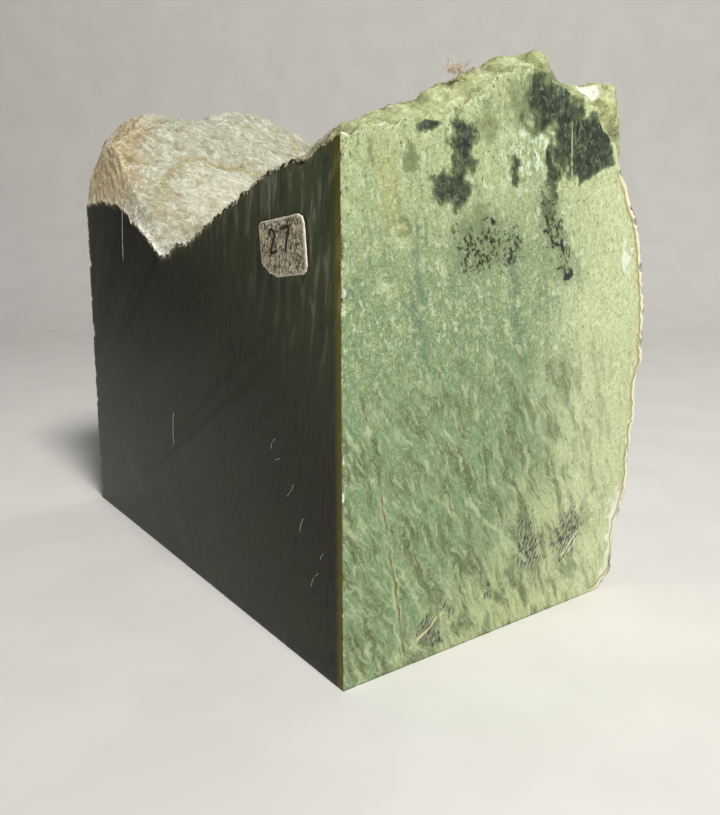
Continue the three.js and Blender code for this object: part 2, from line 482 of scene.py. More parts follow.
def mottle(tree, place, size, lean=(0, 0, 0), detail=4.0, rough=0.6, bend=0.0):
    """Natural variation about 0.5, from clots of a size in millimetres each way, leaning in
    degrees."""
    fitted = add(
        tree, "Mapping",
        {"Vector": place, "Rotation": [math.radians(a) for a in lean], "Scale": size},
        vector_type="TEXTURE",
    )
    return add(
        tree, "TexNoise",
        {"Vector": fitted, "Scale": 1.0, "Detail": detail, "Roughness": rough, "Distortion": bend},
    )


def lay(tree, under, hex_code, pattern, start, end, strength=1.0, within=None):
    """Lays a colour over another where a pattern runs from start to end, inside a share if one is
    given."""
    share = add(
        tree, "MapRange", (pattern, start, end, 0.0, strength), interpolation_type="SMOOTHSTEP",
    )
    if within is not None:
        share = add(tree, "Math", (share, within), operation="MULTIPLY")
    return add(tree, "Mix", (share, under, paint(hex_code)), data_type="RGBA")


def jostled(tree, place, size, reach):
    """The place shifted by a natural wandering, so that what is laid on it gets ragged outlines."""
    drift = add(
        tree, "TexNoise", {"Vector": place, "Scale": 1 / size, "Detail": 4.0, "Roughness": 0.56},
    ).node.outputs["Color"]
    level = add(tree, "VectorMath", (drift, (0.5, 0.5, 0.5)), operation="SUBTRACT")
    return add(tree, "VectorMath", (level, (reach, reach, reach), place), operation="MULTIPLY_ADD")


def stains(tree, spots):
    """The share covered by a few soft spots in the stone. Each has the place that it is laid on,
    its centre, half its size, its lean in degrees and the softness of its edge."""
    whole = 0.0
    for place, centre, half_size, lean, soft in spots:
        local = add(
            tree, "Mapping",
            {
                "Vector": place, "Location": centre, "Rotation": (0, math.radians(lean), 0),
                "Scale": half_size,
            },
            vector_type="TEXTURE",
        )
        reach = add(tree, "VectorMath", (local,), operation="LENGTH")
        share = add(
            tree, "MapRange", (reach, 1 - soft, 1 + soft, 1.0, 0.0),
            interpolation_type="SMOOTHSTEP",
        )
        whole = add(tree, "Math", (whole, share), operation="MAXIMUM")
    return whole


def vein(tree, place, centre, half_length, width, lean, wander):
    """The share of a thin vein, from its middle, half its length, its width, its lean in degrees
    and how far it wanders."""
    local = add(
        tree, "Mapping",
        {"Vector": place, "Location": centre, "Rotation": (0, math.radians(lean), 0)},
        vector_type="TEXTURE",
    )
    parts = add(tree, "SeparateXYZ", (local,)).node.outputs
    course = add(tree, "Math", (parts["X"], wander), operation="ADD")
    off = add(tree, "Math", (course,), operation="ABSOLUTE")
    far = add(tree, "Math", (parts["Z"],), operation="ABSOLUTE")
    line = add(
        tree, "MapRange", (off, width * 0.3, width, 1.0, 0.0), interpolation_type="SMOOTHSTEP",
    )
    fade = add(
        tree, "MapRange", (far, half_length * 0.8, half_length, 1.0, 0.0),
        interpolation_type="SMOOTHSTEP",
    )
    return add(tree, "Math", (line, fade), operation="MULTIPLY")


def dark_windows(tree, place):
    """Where the stone clears to green-black, along the top of the sawn end and into the break."""
    loose = jostled(tree, place, 4.2, 11.0)
    firm = jostled(tree, place, 3.0, 2.2)
    whole = stains(tree, [
        (loose, (23.4, 0, 87.6), (2.5, 9, 4.4), -4, 0.45),
        (loose, (21.8, 0, 80.6), (3.5, 9, 3.9), 25, 0.45),
        (firm, (16.2, 0, 90.0), (2.5, 5, 0.8), -18, 0.4),
        (loose, (42.5, 0, 96.0), (6.0, 12, 4.6), -20, 0.6),
        (loose, (48.5, 0, 91.5), (4.0, 9, 7.5), -10, 0.5),
        (loose, (45.0, 0, 84.6), (1.8, 8, 4.2), -10, 0.5),
        (loose, (35.6, 0, 85.0), (1.5, 8, 1.6), 0, 0.7),
        (loose, (43.6, 0, 78.3), (1.2, 8, 2.0), -10, 0.6),
    ])
    # the largest window ends straight, along an old crack
    cracked = add(
        tree, "Mapping",
        {
            "Vector": firm, "Location": (54.8, 0, 89.2), "Rotation": (0, math.radians(-23), 0),
            "Scale": (5.4, 9, 5.2),
        },
        vector_type="TEXTURE",
    )
    parts = add(tree, "SeparateXYZ", (cracked,)).node.outputs
    wide = add(tree, "Math", (parts["X"],), operation="ABSOLUTE")
    high = add(tree, "Math", (parts["Z"],), operation="ABSOLUTE")
    reach = add(tree, "Math", (wide, high), operation="MAXIMUM")
    corner = add(
        tree, "MapRange", (reach, 0.88, 1.12, 1.0, 0.0), interpolation_type="SMOOTHSTEP",
    )
    whole = add(tree, "Math", (whole, corner), operation="MAXIMUM")
    lobes = mottle(tree, place, (1.7, 4.0, 2.1), (0, -12, 0), 5.0, 0.72)
    uneven = add(tree, "Math", (lobes, 2.0, -1.0), operation="MULTIPLY_ADD")
    return add(tree, "Math", (whole, uneven), operation="ADD")


def sawn_end_marks(tree, place, colour):
    """The stains, specks and veins of the sawn end."""
    loose = jostled(tree, place, 3.6, 9.0)
    inside = mottle(tree, place, (1.3, 4.0, 1.9), (0, -12, 0), 5.0, 0.7)
    uneven = add(tree, "Math", (inside, 2.2, -1.1), operation="MULTIPLY_ADD")
    froth = stains(tree, [(loose, (39.5, 0, 88.8), (6.4, 8, 7.0), 0, 0.7)])
    colour = lay(tree, colour, "#738458", inside, 0.5, 0.36, 0.85, froth)
    colour = lay(tree, colour, "#d8ead0", inside, 0.49, 0.6, 0.95, froth)
    # olive blots and an iron smudge
    olive = stains(tree, [
        (loose, (13.2, 0, 85.0), (1.4, 6, 1.8), 0, 0.5),
        (loose, (11.3, 0, 75.0), (0.7, 6, 1.5), -25, 0.6),
        (loose, (29.0, 0, 91.5), (2.6, 6, 2.6), 10, 0.9),
        (loose, (35.6, 0, 95.0), (3.4, 6, 3.0), 10, 0.9),
        (loose, (26.5, 0, 75.5), (3.4, 6, 2.6), -25, 0.9),
        (loose, (5.6, 0, 85.4), (1.0, 6, 1.3), 0, 0.8),
    ])
    olive = add(tree, "Math", (olive, uneven), operation="ADD")
    colour = lay(tree, colour, "#75804f", olive, 0.2, 0.75, 0.62)
    colour = lay(tree, colour, "#525a38", olive, 0.75, 1.25, 0.6)
    iron = stains(tree, [(loose, (8.8, 0, 80.5), (2.6, 8, 8.5), -12, 1.0)])
    iron = add(tree, "Math", (iron, inside), operation="MULTIPLY")
    colour = lay(tree, colour, "#b09f56", iron, 0.1, 0.75, 0.42)
    window = dark_windows(tree, place)
    colour = lay(tree, colour, "#727f57", window, 0.1, 0.45, 0.85)
    colour = lay(tree, colour, "#4b5834", window, 0.35, 0.75, 0.85)
    colour = lay(tree, colour, "#2b352a", window, 0.6, 1.05, 0.9)
    colour = lay(tree, colour, "#141a10", window, 0.9, 1.3, 0.85)
    clear = add(tree, "MapRange", (window, 0.4, 0.9, 0.0, 1.0))
    wisps = mottle(tree, loose, (0.8, 2.0, 1.7), (0, -16, 0), 4.0, 0.7)
    colour = lay(tree, colour, "#8c9b78", wisps, 0.53, 0.7, 0.75, clear)
    # pepper: chromite specks, thick in two drifts and thin everywhere in the upper half
    drifts = stains(tree, [
        (loose, (28.0, 0, 71.5), (6.4, 8, 5.8), -20, 0.7),
        (loose, (35.0, 0, 70.6), (3.4, 8, 3.6), 0, 0.7),
        (loose, (46.8, 0, 73.5), (2.8, 8, 9.0), -30, 0.7),
    ])
    height = add(tree, "SeparateXYZ", (place,)).node.outputs["Z"]
    thin = add(tree, "MapRange", (height, 66, 84, 0.0, 0.34))
    colour = lay(tree, colour, "#6f8160", drifts, 0.1, 1.0, 0.62)
    drifts = add(tree, "Math", (drifts, thin), operation="MAXIMUM")
    colour = lay(tree, colour, "#c6d6be", inside, 0.54, 0.68, 0.75, drifts)
    specks = mottle(tree, place, (0.8, 1.0, 0.95), (0, -15, 0), detail=4.0, rough=0.68)
    clumps = mottle(tree, place, (3.2, 3.0, 3.2), detail=2.0)
    drifts = add(tree, "Math", (drifts, clumps), operation="MULTIPLY")
    pepper = add(tree, "Math", (drifts, 0.38, specks), operation="MULTIPLY_ADD")
    colour = lay(tree, colour, "#5a5633", pepper, 0.65, 0.71, 0.85)
    colour = lay(tree, colour, "#171811", pepper, 0.71, 0.77, 0.95)
    blots = stains(tree, [
        (loose, (35.7, 0, 70.1), (0.9, 5, 1.1), -20, 0.6),
        (loose, (47.2, 0, 71.3), (0.7, 5, 1.7), -20, 0.6),
        (loose, (44.6, 0, 76.0), (0.7, 5, 1.4), -20, 0.6),
        (loose, (50.4, 0, 67.2), (0.8, 5, 0.7), 0, 0.6),
    ])
    blots = add(tree, "Math", (blots, uneven), operation="ADD")
    colour = lay(tree, colour, "#1d211c", blots, 0.4, 0.8, 0.92)
    # soot-grey flecks near the foot, strewn in short strokes that climb to the right
    strokes = mottle(tree, place, (0.42, 1.0, 1.4), (0, 22, 0), detail=3.0, rough=0.62)
    sooty = stains(tree, [
        (loose, (43.2, 0, 15.0), (3.4, 8, 6.8), -12, 0.8),
        (loose, (54.4, 0, 15.2), (4.4, 8, 5.8), 18, 0.8),
        (loose, (32.6, 0, 8.6), (1.2, 8, 1.0), 20, 0.5),
        (loose, (18.8, 0, 4.6), (3.8, 8, 2.0), 35, 0.6),
        (loose, (21.6, 0, 8.4), (0.9, 8, 1.2), 20, 0.6),
    ])
    colour = lay(tree, colour, "#8b9474", sooty, 0.0, 1.0, 0.4)
    soot = add(tree, "Math", (sooty, 0.19, strokes), operation="MULTIPLY_ADD")
    colour = lay(tree, colour, "#5c5f4c", soot, 0.62, 0.68, 0.7)
    colour = lay(tree, colour, "#26272a", soot, 0.68, 0.76, 0.92)
    # veins: soft green shades, and healed cracks that are pale or stained with rust
    wander = mottle(tree, place, (9, 9, 9))
    wander = add(tree, "Math", (wander, 4.0, -2.0), operation="MULTIPLY_ADD")
    quiver = mottle(tree, place, (3.5, 3.5, 3.5), rough=0.66)
    quiver = add(tree, "Math", (quiver, 2.4, -1.2), operation="MULTIPLY_ADD")
    shown = add(tree, "MapRange", (mottle(tree, place, (2, 2, 3)), 0.42, 0.55, 0.15, 1.0))
    shade, pale, rust, thread = "#4f6b58", "#bccd9f", "#6f6430", "#e6ead2"
    for at, course, half_length, width, lean, bend, tint, strength in (
        ((15.0, 0, 63.5), loose, 13.0, 1.5, -3, quiver, shade, 0.5),
        ((24.0, 0, 58.0), loose, 10.0, 1.2, -8, quiver, shade, 0.42),
        ((37.5, 0, 60.0), loose, 10.0, 1.2, -12, quiver, shade, 0.42),
        ((35.0, 0, 20.0), place, 13.0, 0.6, -47, wander, pale, 0.5),
        ((10.4, 0, 17.5), place, 17.5, 1.1, -10, quiver, pale, 0.5),
        ((10.4, 0, 17.5), place, 17.5, 0.44, -10, quiver, rust, 0.95),
        ((17.8, 0, 5.4), place, 5.0, 0.4, 56, quiver, "#d9d2a0", 0.8),
        ((49.7, 0, 87.6), place, 5.8, 0.3, -4, quiver, "#b4bd94", 0.85),
    ):
        line = vein(tree, course, at, half_length, width, lean, bend)
        colour = lay(tree, colour, tint, line, 0, 1, strength, shown)
    for at, half_length, width, lean in (
        ((55.4, 0, 12.8), 3.4, 0.22, 47),
        ((56.6, 0, 12.4), 2.4, 0.14, 44),
    ):
        line = vein(tree, place, at, half_length, width, lean, 0.0)
        colour = lay(tree, colour, thread, line, 0, 1, 0.85)
    # bruised white where the far edge has crumbled
    bruise = stains(tree, [
        (loose, (69.8, 0, 13.0), (2.4, 8, 8.5), 6, 0.5),
        (loose, (67.4, 0, 2.4), (2.0, 8, 3.0), 10, 0.5),
        (loose, (67.6, 0, 69.0), (0.9, 8, 3.8), -12, 0.6),
        (loose, (73.6, 0, 33.0), (1.3, 8, 9.0), 0, 0.6),
        (place, (0.2, 0, 65.4), (0.8, 8, 0.8), 0, 0.4),
        (place, (0.2, 0, 63.4), (0.6, 8, 0.6), 0, 0.4),
        (place, (1.0, 0, 88.2), (1.1, 8, 0.5), 10, 0.6),
    ])
    return lay(tree, colour, "#e8ead8", bruise, 0.1, 0.9, 0.8)


def sawn_jade(name, with_marks):
    """Nephrite off the diamond saw, rubbed flat and left matt: pale green and sugary, its felted
    fibres cut across, going to yellow towards the old skin."""
    material, tree, surface, place = new_finish(name)
    parts = add(tree, "SeparateXYZ", (place,)).node.outputs
    broad = mottle(tree, place, (12, 20, 16), detail=5.0)
    up = add(tree, "Math", (broad, 24.0, parts["Z"]), operation="MULTIPLY_ADD")
    out = add(tree, "Math", (broad, 32.0, parts["X"]), operation="MULTIPLY_ADD")
    foot = add(tree, "Math", (parts["Z"], -1.2, out), operation="MULTIPLY_ADD")
    colour = lay(tree, paint("#71895f"), "#abb583", up, 68, 106)
    colour = lay(tree, colour, "#b2ba82", foot, 16, 48, 0.95)
    colour = lay(tree, colour, "#c8d09f", out, 54, 80)
    lower = add(tree, "MapRange", (up, 70, 54, 0.0, 1.0), interpolation_type="SMOOTHSTEP")
    inner = add(tree, "MapRange", (out, 88, 60, 0.2, 1.0), interpolation_type="SMOOTHSTEP")
    lower = add(tree, "Math", (lower, inner), operation="MULTIPLY")
    upper = add(tree, "MapRange", (lower, 0.0, 1.0, 1.0, 0.25))
    # Olive clots 3 mm wide and three times as long, feathered into finer streaks.
    bent = jostled(tree, place, 8.0, 5.0)
    clots = mottle(tree, bent, (2.5, 5.0, 10.0), (0, -21, 0), 4.0, 0.54)
    colour = lay(tree, colour, "#4c5828", clots, 0.45, 0.62, 0.9, lower)
    streaks = mottle(tree, bent, (0.75, 3.0, 4.4), (0, -24, 0), 3.0, 0.55)
    colour = lay(tree, colour, "#4b5a38", streaks, 0.5, 0.7, 0.6, lower)
    feathers = mottle(tree, bent, (0.7, 3.0, 4.0), (0, -28, 0), 3.0, 0.55)
    colour = lay(tree, colour, "#b9cba6", feathers, 0.5, 0.7, 0.55, lower)
    milky = mottle(tree, bent, (2.2, 5.0, 7.0), (0, -23, 0), 4.0, 0.56)
    colour = lay(tree, colour, "#c3cf9c", milky, 0.54, 0.74, 0.7, lower)
    threads = mottle(tree, bent, (1.6, 4.0, 6.0), (0, -22, 0), 4.0, 0.62)
    threads = add(tree, "Math", (threads, 0.5), operation="SUBTRACT")
    threads = add(tree, "Math", (threads,), operation="ABSOLUTE")
    colour = lay(tree, colour, "#b2c99f", threads, 0.025, 0.0, 0.35, lower)
    # Soft upright shades in the middle of the face, and cream clouds in its upper part.
    shades = mottle(tree, bent, (1.7, 4.0, 12.0), (0, -11, 0), 4.0, 0.62)
    shades_in = add(tree, "Math", (upper, inner), operation="MULTIPLY")
    colour = lay(tree, colour, "#4f6f55", shades, 0.5, 0.7, 0.65, shades_in)
    cream = mottle(tree, bent, (3.0, 4.0, 5.0), (0, -15, 0), 5.0, 0.68)
    colour = lay(tree, colour, "#d3dcab", cream, 0.5, 0.68, 0.5, upper)
    flecks = mottle(tree, bent, (1.2, 3.0, 1.9), (0, -15, 0), 5.0, 0.7)
    colour = lay(tree, colour, "#aab67c", flecks, 0.49, 0.36, 0.55, upper)
    colour = lay(tree, colour, "#e6f0c9", flecks, 0.52, 0.66, 0.5, upper)
    # The sugar of the cut fibres, about 0.5 mm, and the saw's grit marks.
    sugar = mottle(tree, place, (0.6, 1.0, 0.85), (0, -15, 0), 4.0, 0.75)
    colour = lay(tree, colour, "#dbe6b8", sugar, 0.5, 0.74, 0.6, upper)
    colour = lay(tree, colour, "#4f6440", sugar, 0.5, 0.27, 0.6, upper)
    colour = lay(tree, colour, "#4b5c38", sugar, 0.46, 0.27, 0.35)
    grit = mottle(tree, place, (0.3, 0.5, 0.34), (0, 0, 0), 2.0, 0.6)
    fine = add(tree, "MapRange", (upper, 0.25, 1.0, 0.55, 1.0))
    colour = lay(tree, colour, "#e9f0cd", grit, 0.54, 0.72, 0.45, fine)
    colour = lay(tree, colour, "#59663d", grit, 0.46, 0.3, 0.5, fine)
    if with_marks:
        colour = sawn_end_marks(tree, place, colour)
    rim = add(tree, "Attribute", attribute_name="rim").node.outputs["Fac"]
    far_edge = add(tree, "MapRange", (parts["X"], 60, 66, 0.0, 1.0))
    colour = lay(tree, colour, "#97824c", rim, 0.08, 0.26, 0.7, far_edge)
    colour = lay(tree, colour, "#ece7cb", rim, 0.34, 0.5, 0.95, far_edge)
    # chips sparkle white up the front edge and round the near corner
    near_edge = add(tree, "MapRange", (parts["X"], 9.0, 4.0, 0.0, 1.0))
    chipped = mottle(tree, place, (2.0, 2.0, 4.0), rough=0.66)
    chipped = add(tree, "MapRange", (chipped, 0.55, 0.62, 0.0, 1.0))
    chipped = add(tree, "Math", (chipped, near_edge), operation="MULTIPLY")
    colour = lay(tree, colour, "#f3f5e2", rim, 0.5, 0.9, 1.0, chipped)
    tree.links.new(colour, surface["Base Color"])
    tree.links.new(add(tree, "MapRange", (sugar, 0.2, 0.8, 0.66, 0.5)), surface["Roughness"])
    surface["IOR"].default_value = 1.61
    surface["Specular IOR Level"].default_value = 0.4
    surface["Subsurface Weight"].default_value = 0.1
    surface["Subsurface Radius"].default_value = (0.9, 1.0, 0.5)
    surface["Subsurface Scale"].default_value = 0.8 * MM
    relief = sugar
    if not with_marks:
        # the blade's passes, 1.5 mm apart, left on the cuts that were not rubbed down
        passes = add(
            tree, "Mapping", {"Vector": place, "Rotation": (0, 0.1, 0), "Scale": (1.5, 1.5, 1.5)},
            vector_type="TEXTURE",
        )
        wave = add(
            tree, "TexWave", {"Vector": passes, "Scale": 1 / math.tau, "Distortion": 0.4},
            bands_direction="X",
        ).node.outputs["Fac"]
        relief = add(tree, "Math", (wave, 0.8, sugar), operation="MULTIPLY_ADD")
    bump = add(tree, "Bump", {"Strength": 0.35, "Distance": 0.1 * MM, "Height": relief})
    tree.links.new(bump, surface["Normal"])
    return material


def polished_jade():
    """The same stone ground and polished: light goes in and is lost, so the side reads green-black
    under its gloss, with painted shade darkening it towards the back end, a painted reflection
    lightening it near the top under wiped handling streaks, and olive where the edge lets light
    through."""
    material, tree, surface, place = new_finish("polished_jade")
    parts = add(tree, "SeparateXYZ", (place,)).node.outputs
    y, z = parts["Y"], parts["Z"]
    cloud = mottle(tree, place, (9, 9, 12), detail=4.0, bend=0.4)
    # painted shade: the polished side darkens to near black towards the back end
    back = add(tree, "Math", (cloud, 40.0, y), operation="MULTIPLY_ADD")
    colour = lay(tree, paint("#2c2f1c"), "#0a0c08", back, 60, 112, 0.95)
    colour = lay(tree, colour, "#3a3b22", cloud, 0.5, 0.7, 0.6)
    # dark fibre bundles under the gloss, about 1 mm wide and upright
    bundles = mottle(tree, place, (2.0, 1.0, 3.4), (0, 0, 0), 4.0, 0.62)
    colour = lay(tree, colour, "#12150c", bundles, 0.52, 0.66, 0.85)
    # wiped handling streaks, thickest at the top near the sawn end, over a painted reflection that
    # lightens the side towards the top
    climb = add(tree, "Math", (y, -0.55, z), operation="MULTIPLY_ADD")
    haze_in = add(tree, "MapRange", (climb, 36, 82, 0.0, 1.0), interpolation_type="SMOOTHSTEP")
    wipes = mottle(tree, place, (2.0, 1.9, 9.0), (8, 0, 0), 4.0, 0.6, 0.6)
    # painted reflection: lighter towards the top near the sawn end
    colour = lay(tree, colour, "#5b5f48", climb, 26, 84, 0.9)
    colour = lay(tree, colour, "#989c88", wipes, 0.48, 0.72, 0.8, haze_in)
    colour = lay(tree, colour, "#2b2f20", wipes, 0.46, 0.3, 0.7, haze_in)
    # olive light along the front edge and under the thin lip at the notch
    glow = add(tree, "MapRange", (y, 2.6, 0.4, 0.0, 1.0), interpolation_type="SMOOTHSTEP")
    colour = lay(tree, colour, "#6d662a", glow, 0.0, 1.0, 0.8)
    rim = add(tree, "Attribute", attribute_name="rim").node.outputs["Fac"]
    high = add(tree, "MapRange", (z, 62, 70, 0.0, 1.0))
    colour = lay(tree, colour, "#63592a", rim, 0.0, 0.5, 0.7, high)
    lint_dust = mottle(tree, place, (0.35, 0.35, 0.35), detail=1.0)
    colour = lay(tree, colour, "#a5a898", lint_dust, 0.79, 0.83, 0.8)
    # the lip's crumbled edge: painted glints as white sparkles, and painted shade in the dark gaps
    crumb = mottle(tree, place, (0.9, 0.9, 0.9), rough=0.75)
    lip = add(tree, "MapRange", (y, 1.6, 3.6, 0.0, 1.0))
    lip = add(tree, "Math", (lip, high), operation="MULTIPLY")
    # painted shade in the gaps of the crumbled lip
    painted_shade_gaps = add(tree, "MapRange", (crumb, 0.5, 0.42, 0.0, 1.0))
    painted_shade_gaps = add(tree, "Math", (painted_shade_gaps, lip), operation="MULTIPLY")
    colour = lay(tree, colour, "#0d0e09", rim, 0.1, 0.6, 0.9, painted_shade_gaps)
    # painted glints: white specks along the lip
    crumbs = add(tree, "MapRange", (crumb, 0.49, 0.56, 0.0, 1.0))
    crumbs = add(tree, "Math", (crumbs, lip), operation="MULTIPLY")
    colour = lay(tree, colour, "#f0efe6", rim, 0.42, 0.62, 1.0, crumbs)
    tree.links.new(colour, surface["Base Color"])
    smear = add(tree, "Math", (wipes, 0.2, cloud), operation="MULTIPLY_ADD")
    tree.links.new(add(tree, "MapRange", (smear, 0.4, 0.8, 0.2, 0.34)), surface["Roughness"])
    surface["IOR"].default_value = 1.61
    surface["Specular IOR Level"].default_value = 0.09
    ripple = mottle(tree, place, (9, 9, 9), detail=2.0)
    bump = add(tree, "Bump", {"Strength": 0.06, "Distance": 0.3 * MM, "Height": ripple})
    tree.links.new(bump, surface["Normal"])
    return material


def weathered_rind():
    """The boulder's own skin, bleached, folded and tumbled by water: tan and grey-green sheets,
    with painted shade in the creases, painted highlight on the crests and painted light on the
    steep side of the hump. Where the stone has broken it is sugary and yellow-green, with painted
    shade in its hollows."""
    material, tree, surface, place = new_finish("weathered_rind")
    relief = add(tree, "Attribute", attribute_name="relief").node.outputs["Fac"]
    broken = add(tree, "Attribute", attribute_name="broken").node.outputs["Fac"]
    parts = add(tree, "SeparateXYZ", (place,)).node.outputs
    # the folded layers: thin sheets that run down across the hump, bent here and there
    bent = jostled(tree, place, 11.0, 13.0)
    curled = jostled(tree, place, 3.0, 3.4)
    layers = mottle(tree, bent, (7.5, 1.7, 1.1), (0, 18, -31), 5.0, 0.62)
    grain = mottle(tree, curled, (2.6, 0.7, 0.5), (0, 18, -31), 4.0, 0.66)
    weave = mottle(tree, curled, (0.9, 0.7, 1.1), (0, 0, 0), 4.0, 0.66)
    broad = mottle(tree, place, (15, 15, 12), detail=3.0)
    crust = mottle(tree, place, (0.95, 0.95, 0.95), detail=5.0, rough=0.7)
    sand = mottle(tree, place, (0.34, 0.34, 0.34), detail=2.0, rough=0.65)
    behind = add(tree, "Math", (broad, 24.0, parts["Y"]), operation="MULTIPLY_ADD")
    behind = add(tree, "Math", (parts["X"], -1.5, behind), operation="MULTIPLY_ADD")
    tan = add(tree, "MapRange", (behind, 84, 106, 0.0, 1.0), interpolation_type="SMOOTHSTEP")
    colour = lay(tree, paint("#aeb09a"), "#b89f72", tan, 0.0, 1.0, 0.9)
    colour = lay(tree, colour, "#9c8f66", layers, 0.51, 0.66, 0.7)
    colour = lay(tree, colour, "#e2e1cd", layers, 0.48, 0.36, 0.6)
    # a fold that curls round on itself: an arc of gold with pale sheets inside it
    ring_place = add(
        tree, "Mapping", {"Vector": bent, "Location": (19, 80, 79), "Scale": (12, 12, 12)},
        vector_type="TEXTURE",
    )
    reach = add(tree, "VectorMath", (ring_place,), operation="LENGTH")
    reach = add(tree, "Math", (grain, 0.5, reach), operation="MULTIPLY_ADD")
    colour = lay(tree, colour, "#dfdcc4", reach, 1.15, 0.9, 0.4)
    arc = add(tree, "Math", (reach, 1.28), operation="SUBTRACT")
    arc = add(tree, "Math", (arc,), operation="ABSOLUTE")
    arc = add(tree, "MapRange", (arc, 0.2, 0.02, 0.0, 1.0), interpolation_type="SMOOTHSTEP")
    over = add(tree, "MapRange", (parts["Z"], 76, 86, 0.25, 1.0))
    colour = lay(tree, colour, "#9f9059", arc, 0.0, 1.0, 0.62, over)
    # the far side weathers in broad clouds of iron brown, cream and clean grey-green
    far = add(tree, "MapRange", (parts["X"], 40, 56, 0.0, 1.0))
    clouds = mottle(tree, bent, (17, 22, 19), (0, 0, 20), 5.0, 0.6)
    colour = lay(tree, colour, "#a68a5a", clouds, 0.5, 0.68, 0.6, far)
    colour = lay(tree, colour, "#7f8c6b", clouds, 0.47, 0.34, 0.7, far)
    seams = mottle(tree, bent, (14, 16, 2.6), (0, 24, 0), 5.0, 0.62)
    colour = lay(tree, colour, "#e9e4cf", seams, 0.5, 0.64, 0.6, far)
    colour = lay(tree, colour, "#786847", seams, 0.44, 0.3, 0.45, far)
    # painted light: pale gold on the steep side of the hump, which the key light hardly reaches
    steep = add(tree, "MapRange", (parts["Y"], 84, 92, 0.0, 1.0))
    colour = lay(tree, colour, "#f3dcae", parts["X"], 2.4, 1.0, 0.85, steep)
    colour = lay(tree, colour, "#8f7c52", grain, 0.52, 0.7, 0.6)
    colour = lay(tree, colour, "#ece9d8", grain, 0.48, 0.32, 0.6)
    colour = lay(tree, colour, "#846b43", weave, 0.52, 0.68, 0.6, tan)
    colour = lay(tree, colour, "#e6dcbd", weave, 0.48, 0.34, 0.7, tan)
    # painted shade in the creases and painted highlight on the crests, following the relief
    colour = lay(tree, colour, "#756341", relief, 0.0, -0.8, 0.7)
    colour = lay(tree, colour, "#ebe8d8", relief, 0.1, 0.8, 0.4)
    colour = lay(tree, colour, "#efecde", crust, 0.54, 0.74, 0.45)
    colour = lay(tree, colour, "#776848", crust, 0.46, 0.3, 0.5)
    colour = lay(tree, colour, "#6f6245", sand, 0.44, 0.28, 0.45)
    # scuffed white along the polished side's lip, down in the valley
    valley = add(tree, "MapRange", (parts["Z"], 84, 76, 0.0, 1.0))
    scuffed = add(tree, "MapRange", (crust, 0.4, 0.55, 0.1, 1.0))
    scuffed = add(tree, "Math", (scuffed, valley), operation="MULTIPLY")
    colour = lay(tree, colour, "#f2efe5", parts["X"], 2.2, 0.5, 0.75, scuffed)
    pink = add(tree, "MapRange", (parts["Y"], 70, 76, 0.0, 1.0))
    pink = add(tree, "Math", (pink, valley), operation="MULTIPLY")
    colour = lay(tree, colour, "#b08a66", weave, 0.5, 0.66, 0.6, pink)
    fresh = lay(tree, paint("#a3a974"), "#d3d8a8", crust, 0.42, 0.68, 0.85)
    smudge = mottle(tree, jostled(tree, place, 4.0, 6.0), (4, 5, 1.6), (0, -30, 0), rough=0.65)
    fresh = lay(tree, fresh, "#747638", smudge, 0.52, 0.68, 0.75)
    fresh = lay(tree, fresh, "#dfe5b6", smudge, 0.46, 0.32, 0.6)
    # painted shade in the hollows of the broken strip, following the relief
    fresh = lay(tree, fresh, "#565e38", relief, 0.1, -0.9, 0.6)
    window = dark_windows(tree, place)
    fresh = lay(tree, fresh, "#55633f", window, 0.3, 0.9, 0.8)
    whitened = stains(tree, [(bent, (57.5, 5, 99.5), (3.6, 5, 1.7), -10, 0.5)])
    fresh = lay(tree, fresh, "#ecebdc", whitened, 0.0, 0.8, 0.9)
    fresh = lay(tree, fresh, "#e9edc9", sand, 0.58, 0.76, 0.45)
    # rust where the skin begins behind the break
    skyline = add(tree, "MapRange", (broken, 0.2, 0.75, 1.0, 0.0))
    rusty = add(tree, "MapRange", (broken, 0.0, 0.25, 0.0, 1.0))
    rusty = add(tree, "Math", (rusty, skyline), operation="MULTIPLY")
    colour = add(tree, "Mix", (broken, colour, fresh), data_type="RGBA")
    colour = lay(tree, colour, "#86652f", rusty, 0.1, 0.8, 0.8)
    tree.links.new(colour, surface["Base Color"])
    surface["Roughness"].default_value = 0.82
    surface["IOR"].default_value = 1.5
    surface["Specular IOR Level"].default_value = 0.3
    height = add(tree, "Math", (sand, 0.35, crust), operation="MULTIPLY_ADD")
    height = add(tree, "Math", (grain, 1.0, height), operation="MULTIPLY_ADD")
    height = add(tree, "Math", (layers, 1.2, height), operation="MULTIPLY_ADD")
    bump = add(tree, "Bump", {"Strength": 0.7, "Distance": 0.45 * MM, "Height": height})
    tree.links.new(bump, surface["Normal"])
    return material


def aged_paper():
    """Handled label paper: brown-grey with years of dust, its fibres lifting, with a painted
    highlight round its edge."""
    material, tree, surface, place = new_finish("aged_label_paper")
    fibres = mottle(tree, jostled(tree, place, 2.0, 1.6), (0.4, 0.42, 0.6), (24, 0, 0), 3.0, 0.7)
    dust = mottle(tree, place, (2.4, 2.4, 2.4))
    colour = lay(tree, paint("#bbae90"), "#88785a", dust, 0.42, 0.66)
    colour = lay(tree, colour, "#f4ecd4", fibres, 0.49, 0.62, 0.95)
    colour = lay(tree, colour, "#30261a", fibres, 0.5, 0.38, 0.9)
    rim = add(tree, "Attribute", attribute_name="rim").node.outputs["Fac"]
    # painted highlight round the label's edge
    colour = lay(tree, colour, "#efe8d2", rim, 0.2, 0.9, 0.8)
    tree.links.new(colour, surface["Base Color"])
    surface["Roughness"].default_value = 0.85
    surface["IOR"].default_value = 1.47
    bump = add(tree, "Bump", {"Strength": 0.8, "Distance": 0.18 * MM, "Height": fibres})
    tree.links.new(bump, surface["Normal"])
    return material


